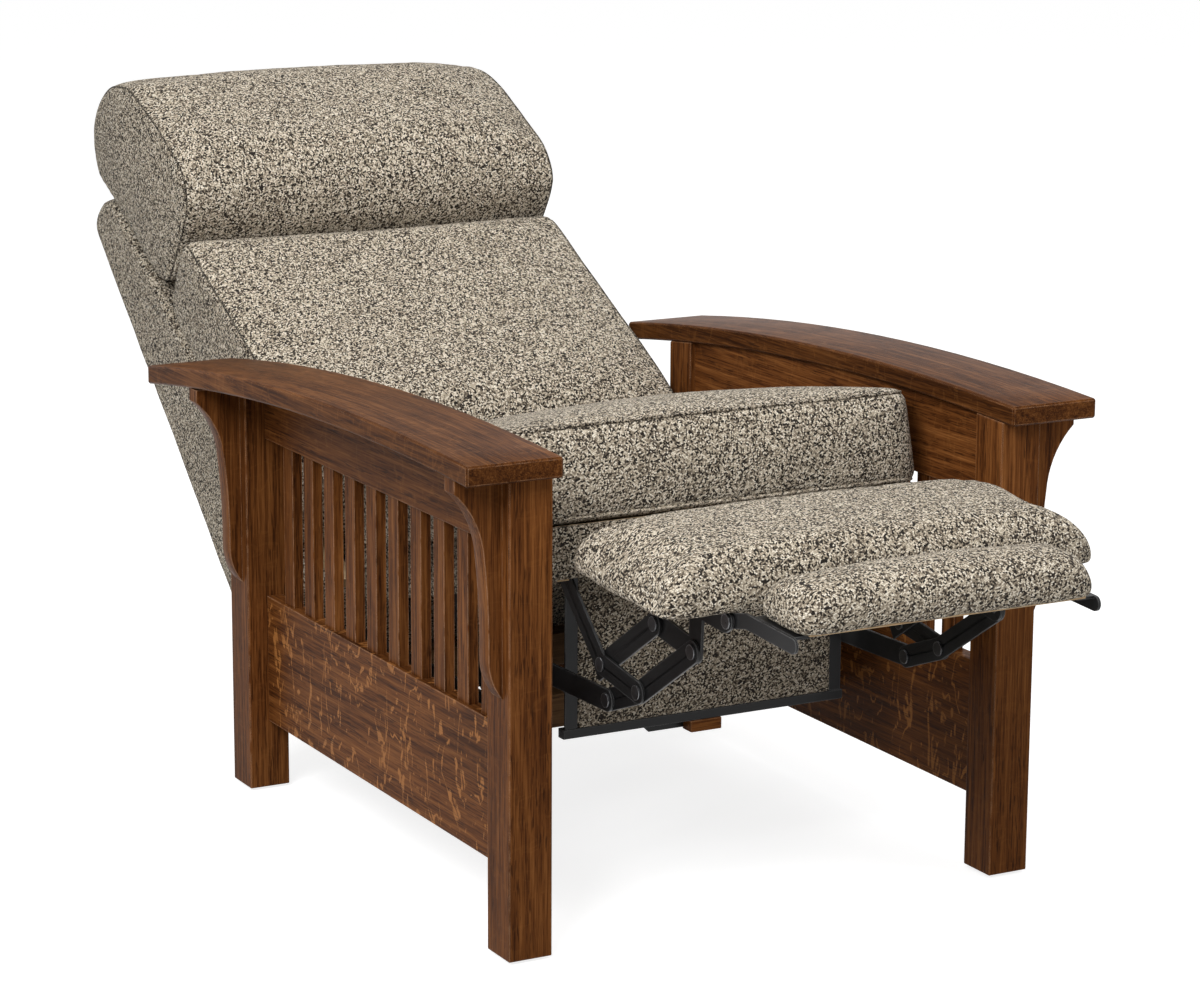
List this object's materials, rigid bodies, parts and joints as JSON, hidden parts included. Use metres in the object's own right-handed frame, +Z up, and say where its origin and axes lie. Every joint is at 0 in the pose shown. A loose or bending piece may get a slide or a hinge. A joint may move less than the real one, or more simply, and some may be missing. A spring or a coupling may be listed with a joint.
{
  "type": "recliner",
  "caption": "Slatted oak reclining armchair with bowed flat arms, corbels, loose-look tweed cushions, a sliding seat, tilting back and linked footrest.",
  "frame": {"origin": "on the floor, midway between the four posts", "axes": "+Z up; the chair faces -Y; +X is the right side as seen from the front"},
  "size_m": [0.8708, 1.8876, 0.8934],
  "materials": {
    "oak": "red-brown stain under satin lacquer",
    "softwood": "sawn, bare",
    "black_steel": "black paint, satin",
    "bright_steel": "blackened rivets, worn bright",
    "spring_steel": "oiled wire",
    "tweed": "beige, taupe and black flecked tweed",
    "nylon": "matt"
  },
  "bodies": {
    "frame": {"front_post_left": "oak", "front_post_right": "oak", "rear_post_left": "oak", "rear_post_right": "oak", "arm_left": "oak", "arm_right": "oak", "lower_rail_left": "oak", "lower_rail_right": "oak", "upper_rail_left": "oak", "upper_rail_right": "oak", "slats_left": "oak", "slats_right": "oak", "corbels": "oak", "rear_rail": "oak", "glides": "nylon", "stretchers": "softwood", "base_rail_left": "black_steel", "base_rail_right": "black_steel", "base_pins": "bright_steel"},
    "rear_swing": {"rear_swing_links": "black_steel"},
    "front_swing": {"front_swing_links": "black_steel"},
    "seat": {"seat_rail_left": "softwood", "seat_rail_right": "softwood", "seat_front_rail": "softwood", "seat_rear_rail": "softwood", "seat_plate_left": "black_steel", "seat_plate_right": "black_steel", "seat_springs": "spring_steel", "seat_cushion": "tweed", "seat_pins": "bright_steel", "kick_panel": "tweed", "kick_bar": "black_steel", "kick_block": "oak", "kick_hangers": "black_steel"},
    "back": {"back_shell": "tweed", "back_upright_left": "softwood", "back_upright_right": "softwood", "back_top_rail": "softwood", "back_low_rail": "softwood", "back_hinge_plates": "black_steel", "lower_back_cushion": "tweed", "head_pillow": "tweed"},
    "drive": {"drive_link_left": "black_steel", "drive_link_right": "black_steel", "torque_tube": "black_steel", "drive_pins": "bright_steel"},
    "crank": {"cranks": "black_steel", "crank_pins": "bright_steel"},
    "lower_link": {"lower_links": "black_steel", "lower_link_pins": "bright_steel"},
    "upper_link": {"upper_links": "black_steel"},
    "footrest": {"footrest_pad": "tweed", "footrest_board": "softwood", "pad_brackets": "black_steel", "pad_pins": "bright_steel"},
    "flipper": {"flipper_pad": "tweed", "flipper_board": "softwood", "flipper_brackets": "black_steel"}
  },
  "joints": [
    {"name": "recline", "type": "hinge", "parent": "frame", "child": "rear_swing", "pos_m": [0, 0.1059, 0.2055], "axis": [1, 0, 0], "range_deg": [-33.69, 0]},
    {"name": "front_swing_turn", "type": "hinge", "parent": "frame", "child": "front_swing", "pos_m": [0, -0.0886, 0.2117], "axis": [1, 0, 0], "range_deg": [-26.74, 0.02]},
    {"name": "seat_turn", "type": "hinge", "parent": "rear_swing", "child": "seat", "pos_m": [0, 0.1562, 0.2864], "axis": [1, 0, 0], "range_deg": [-0.02, 39.7]},
    {"name": "back_turn", "type": "hinge", "parent": "seat", "child": "back", "pos_m": [0, 0.345, 0.3], "axis": [1, 0, 0], "range_deg": [-0.02, 36.02]},
    {"name": "footrest_fold", "type": "hinge", "parent": "seat", "child": "drive", "pos_m": [0, -0.16651, 0.40802], "axis": [1, 0, 0], "range_deg": [0, 82]},
    {"name": "crank_turn", "type": "hinge", "parent": "seat", "child": "crank", "pos_m": [0, -0.24074, 0.4362], "axis": [1, 0, 0], "range_deg": [-0.02, 82.02]},
    {"name": "lower_link_turn", "type": "hinge", "parent": "drive", "child": "lower_link", "pos_m": [0, -0.36588, 0.29373], "axis": [1, 0, 0], "range_deg": [-82.02, 0.02]},
    {"name": "upper_link_turn", "type": "hinge", "parent": "crank", "child": "upper_link", "pos_m": [0, -0.35185, 0.33449], "axis": [1, 0, 0], "range_deg": [-82.02, 0.02]},
    {"name": "footrest_turn", "type": "hinge", "parent": "lower_link", "child": "footrest", "pos_m": [0, -0.5601, 0.3996], "axis": [1, 0, 0], "range_deg": [-0.02, 82.02]},
    {"name": "flipper_turn", "type": "hinge", "parent": "footrest", "child": "flipper", "pos_m": [0, -0.63128, 0.45217], "axis": [1, 0, 0], "range_deg": [-0.02, 180.02]}
  ],
  "couplings": [
    {"joint": "front_swing_turn", "follows": "recline", "ratio": 0.79311},
    {"joint": "seat_turn", "follows": "recline", "ratio": -1.1778},
    {"joint": "back_turn", "follows": "recline", "ratio": -1.0686},
    {"joint": "crank_turn", "follows": "footrest_fold", "ratio": 1},
    {"joint": "lower_link_turn", "follows": "footrest_fold", "ratio": -1},
    {"joint": "upper_link_turn", "follows": "footrest_fold", "ratio": -1},
    {"joint": "footrest_turn", "follows": "footrest_fold", "ratio": 1},
    {"joint": "flipper_turn", "follows": "footrest_fold", "ratio": 2.1951}
  ]
}
